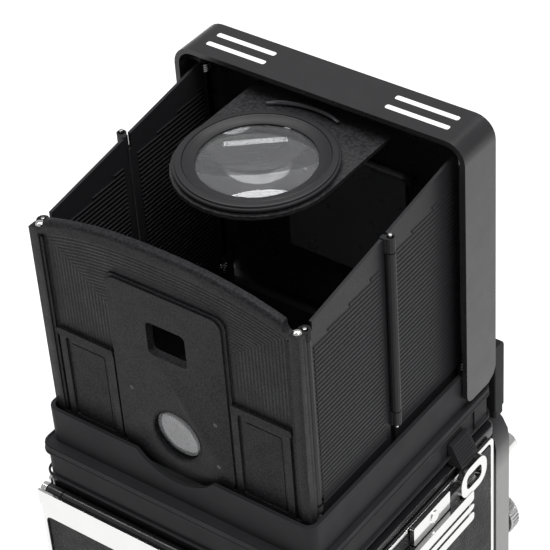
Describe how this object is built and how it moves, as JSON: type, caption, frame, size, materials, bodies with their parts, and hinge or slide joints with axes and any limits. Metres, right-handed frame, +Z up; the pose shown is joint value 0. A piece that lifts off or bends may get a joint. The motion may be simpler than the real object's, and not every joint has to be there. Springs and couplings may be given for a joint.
{
  "type": "twin lens reflex camera",
  "caption": "Twin lens reflex camera with an open folding focusing hood, swing-out magnifier, focusing lens standard, hinged back and film crank.",
  "frame": {"origin": "on the base plate's underside, below the middle of the camera's outer box", "axes": "+Z up, the two lenses look along -Y, the operator stands at +Y with the right hand at -X"},
  "size_m": [0.097, 0.097, 0.2024],
  "materials": {
    "satin_black": "satin black enamel on sheet metal and castings",
    "wrinkle_black": "fine wrinkle black paint",
    "matt_black": "die-cast light alloy, matt black inside",
    "grey_metal": "light grey satin lacquer on alloy",
    "chrome": "bright and satin chrome plate",
    "steel": "plain steel pins and shafts",
    "brass": "cut brass gears",
    "leatherette": "black grained covering",
    "glass": "polished optical glass",
    "mirror": "front-silvered mirror"
  },
  "bodies": {
    "camera_body": {"body_shell": "matt_black", "base_plate": "chrome", "tripod_bush": "steel", "top_deck": "grey_metal", "focusing_screen": "glass", "nameplate_cover": "satin_black", "reflex_mirror": "mirror", "light_box": "matt_black", "side_trim_left": "chrome", "side_trim_right": "chrome", "side_leather_left": "leatherette", "side_leather_right": "leatherette", "strap_lug_left": "chrome", "strap_lug_right": "chrome", "door_hinge_pin": "steel"},
    "back_door": {"back_door": "grey_metal"},
    "door_latch": {"door_latch": "chrome"},
    "pressure_plate": {"pressure_plate": "matt_black"},
    "crank": {"advance_crank": "chrome", "crank_gear": "brass"},
    "take_up": {"take_up_spool": "matt_black", "take_up_gear": "brass"},
    "supply": {"supply_spool": "matt_black"},
    "roller_upper": {"film_roller_upper": "steel"},
    "roller_lower": {"film_roller_lower": "steel"},
    "knob_upper": {"spool_knob_upper": "chrome"},
    "knob_lower": {"spool_knob_lower": "chrome"},
    "focus": {"focus_knob": "chrome", "focus_shaft": "steel"},
    "standard": {"lens_standard": "grey_metal", "viewing_barrel": "chrome", "viewing_lens": "glass", "shutter_housing": "satin_black", "taking_lens": "glass"},
    "speed_wheel": {"speed_wheel": "satin_black"},
    "aperture_wheel": {"aperture_wheel": "satin_black"},
    "cocking_lever": {"cocking_lever": "chrome"},
    "release": {"release_button": "chrome"},
    "hood_base": {"hood_base": "satin_black", "lid_pin_left": "steel", "lid_pin_right": "steel"},
    "catch_left": {"hood_catch_left": "satin_black"},
    "catch_right": {"hood_catch_right": "satin_black"},
    "lid": {"hood_lid": "satin_black", "front_hinge_pin_left": "steel", "front_hinge_pin_right": "steel"},
    "front_wall_left": {"front_wall_left": "satin_black", "mid_hinge_pin_left": "steel"},
    "rear_wall_left": {"rear_wall_left": "satin_black"},
    "front_wall_right": {"front_wall_right": "satin_black", "mid_hinge_pin_right": "steel"},
    "rear_wall_right": {"rear_wall_right": "satin_black"},
    "rear_panel": {"rear_panel": "wrinkle_black", "rear_window_lens": "glass", "rear_hinge_pin_left": "steel", "rear_hinge_pin_right": "steel"},
    "magnifier": {"magnifier_plate": "wrinkle_black", "magnifier_ring": "satin_black", "magnifier_lens": "glass"},
    "finder_flap": {"finder_flap": "grey_metal"}
  },
  "joints": [
    {"name": "hood_fold", "type": "hinge", "parent": "lid", "child": "front_wall_left", "pos_m": [0.0328, -0.017, 0.166], "axis": [0, 0, 1], "range_deg": [0, 84], "stiffness_Nm_per_rad": 0.01, "springref_deg": -28.65},
    {"name": "left_mid_fold", "type": "hinge", "parent": "front_wall_left", "child": "rear_wall_left", "pos_m": [0.03395, 0.0105, 0.166], "axis": [0, 0, 1], "range_deg": [-168, 0]},
    {"name": "left_rear_fold", "type": "hinge", "parent": "rear_wall_left", "child": "rear_panel", "pos_m": [0.0328, 0.038, 0.166], "axis": [0, 0, 1], "range_deg": [0, 84]},
    {"name": "right_front_fold", "type": "hinge", "parent": "lid", "child": "front_wall_right", "pos_m": [-0.0328, -0.017, 0.166], "axis": [0, 0, 1], "range_deg": [-84, 0]},
    {"name": "right_mid_fold", "type": "hinge", "parent": "front_wall_right", "child": "rear_wall_right", "pos_m": [-0.03395, 0.0105, 0.166], "axis": [0, 0, 1], "range_deg": [0, 168]},
    {"name": "lid_swing", "type": "hinge", "parent": "hood_base", "child": "lid", "pos_m": [0, -0.0186, 0.1384], "axis": [-1, 0, 0], "range_deg": [0, 5], "stiffness_Nm_per_rad": 0.03, "springref_deg": -85.94},
    {"name": "magnifier_fold", "type": "hinge", "parent": "lid", "child": "magnifier", "pos_m": [0, -0.0196, 0.19665], "axis": [-1, 0, 0], "range_deg": [0, 90], "stiffness_Nm_per_rad": 0.01, "springref_deg": -45.84},
    {"name": "flap_swing", "type": "hinge", "parent": "lid", "child": "finder_flap", "pos_m": [0, -0.02125, 0.1812], "axis": [-1, 0, 0], "range_deg": [-90, 0]},
    {"name": "hood_lift", "type": "slide", "parent": "camera_body", "child": "hood_base", "axis": [0, 0, 1], "range_m": [0, 0.015]},
    {"name": "catch_left_slide", "type": "slide", "parent": "hood_base", "child": "catch_left", "axis": [0, -1, 0], "range_m": [0, 0.0025]},
    {"name": "catch_right_slide", "type": "slide", "parent": "hood_base", "child": "catch_right", "axis": [0, -1, 0], "range_m": [0, 0.0025]},
    {"name": "door_open", "type": "hinge", "parent": "camera_body", "child": "back_door", "pos_m": [0, 0.0463, 0.1183], "axis": [1, 0, 0], "range_deg": [0, 100]},
    {"name": "latch_turn", "type": "hinge", "parent": "back_door", "child": "door_latch", "pos_m": [0, 0.0462, 0.0017], "axis": [1, 0, 0], "range_deg": [0, 90]},
    {"name": "pressure_plate_press", "type": "slide", "parent": "back_door", "child": "pressure_plate", "axis": [0, 1, 0], "range_m": [0, 0.0005], "stiffness_N_per_m": 300},
    {"name": "crank_turn", "type": "hinge", "parent": "camera_body", "child": "crank", "pos_m": [0, 0.01, 0.07], "axis": [1, 0, 0], "continuous": true},
    {"name": "take_up_turn", "type": "hinge", "parent": "camera_body", "child": "take_up", "pos_m": [0, 0.028, 0.092], "axis": [1, 0, 0], "continuous": true},
    {"name": "supply_turn", "type": "hinge", "parent": "camera_body", "child": "supply", "pos_m": [0, 0.008, 0.0172], "axis": [1, 0, 0], "continuous": true},
    {"name": "upper_roller_turn", "type": "hinge", "parent": "camera_body", "child": "roller_upper", "pos_m": [0, 0.0406, 0.0816], "axis": [1, 0, 0], "continuous": true},
    {"name": "lower_roller_turn", "type": "hinge", "parent": "camera_body", "child": "roller_lower", "pos_m": [0, 0.0406, 0.0144], "axis": [1, 0, 0], "continuous": true},
    {"name": "upper_knob_pull", "type": "slide", "parent": "camera_body", "child": "knob_upper", "axis": [1, 0, 0], "range_m": [0, 0.004]},
    {"name": "lower_knob_pull", "type": "slide", "parent": "camera_body", "child": "knob_lower", "axis": [1, 0, 0], "range_m": [0, 0.004]},
    {"name": "focus_turn", "type": "hinge", "parent": "camera_body", "child": "focus", "pos_m": [0, -0.003, 0.07], "axis": [-1, 0, 0], "range_deg": [0, 180]},
    {"name": "standard_slide", "type": "slide", "parent": "camera_body", "child": "standard", "axis": [0, -1, 0], "range_m": [0, 0.0068]},
    {"name": "speed_turn", "type": "hinge", "parent": "standard", "child": "speed_wheel", "pos_m": [0.031, -0.03, 0.081], "axis": [0, 1, 0], "range_deg": [0, 270]},
    {"name": "aperture_turn", "type": "hinge", "parent": "standard", "child": "aperture_wheel", "pos_m": [-0.031, -0.03, 0.081], "axis": [0, 1, 0], "range_deg": [0, 150]},
    {"name": "cocking_turn", "type": "hinge", "parent": "standard", "child": "cocking_lever", "pos_m": [0, -0.036, 0.048], "axis": [0, -1, 0], "range_deg": [0, 60]},
    {"name": "release_press", "type": "slide", "parent": "standard", "child": "release", "axis": [0, 1, 0], "range_m": [0, 0.0012], "stiffness_N_per_m": 250}
  ],
  "couplings": [
    {"joint": "left_mid_fold", "follows": "hood_fold", "ratio": -2},
    {"joint": "left_rear_fold", "follows": "hood_fold", "ratio": 1},
    {"joint": "right_front_fold", "follows": "hood_fold", "ratio": -1},
    {"joint": "right_mid_fold", "follows": "hood_fold", "ratio": 2},
    {"joint": "take_up_turn", "follows": "crank_turn", "ratio": -1},
    {"joint": "focus_turn", "follows": "standard_slide", "rad_per_m": 462}
  ]
}
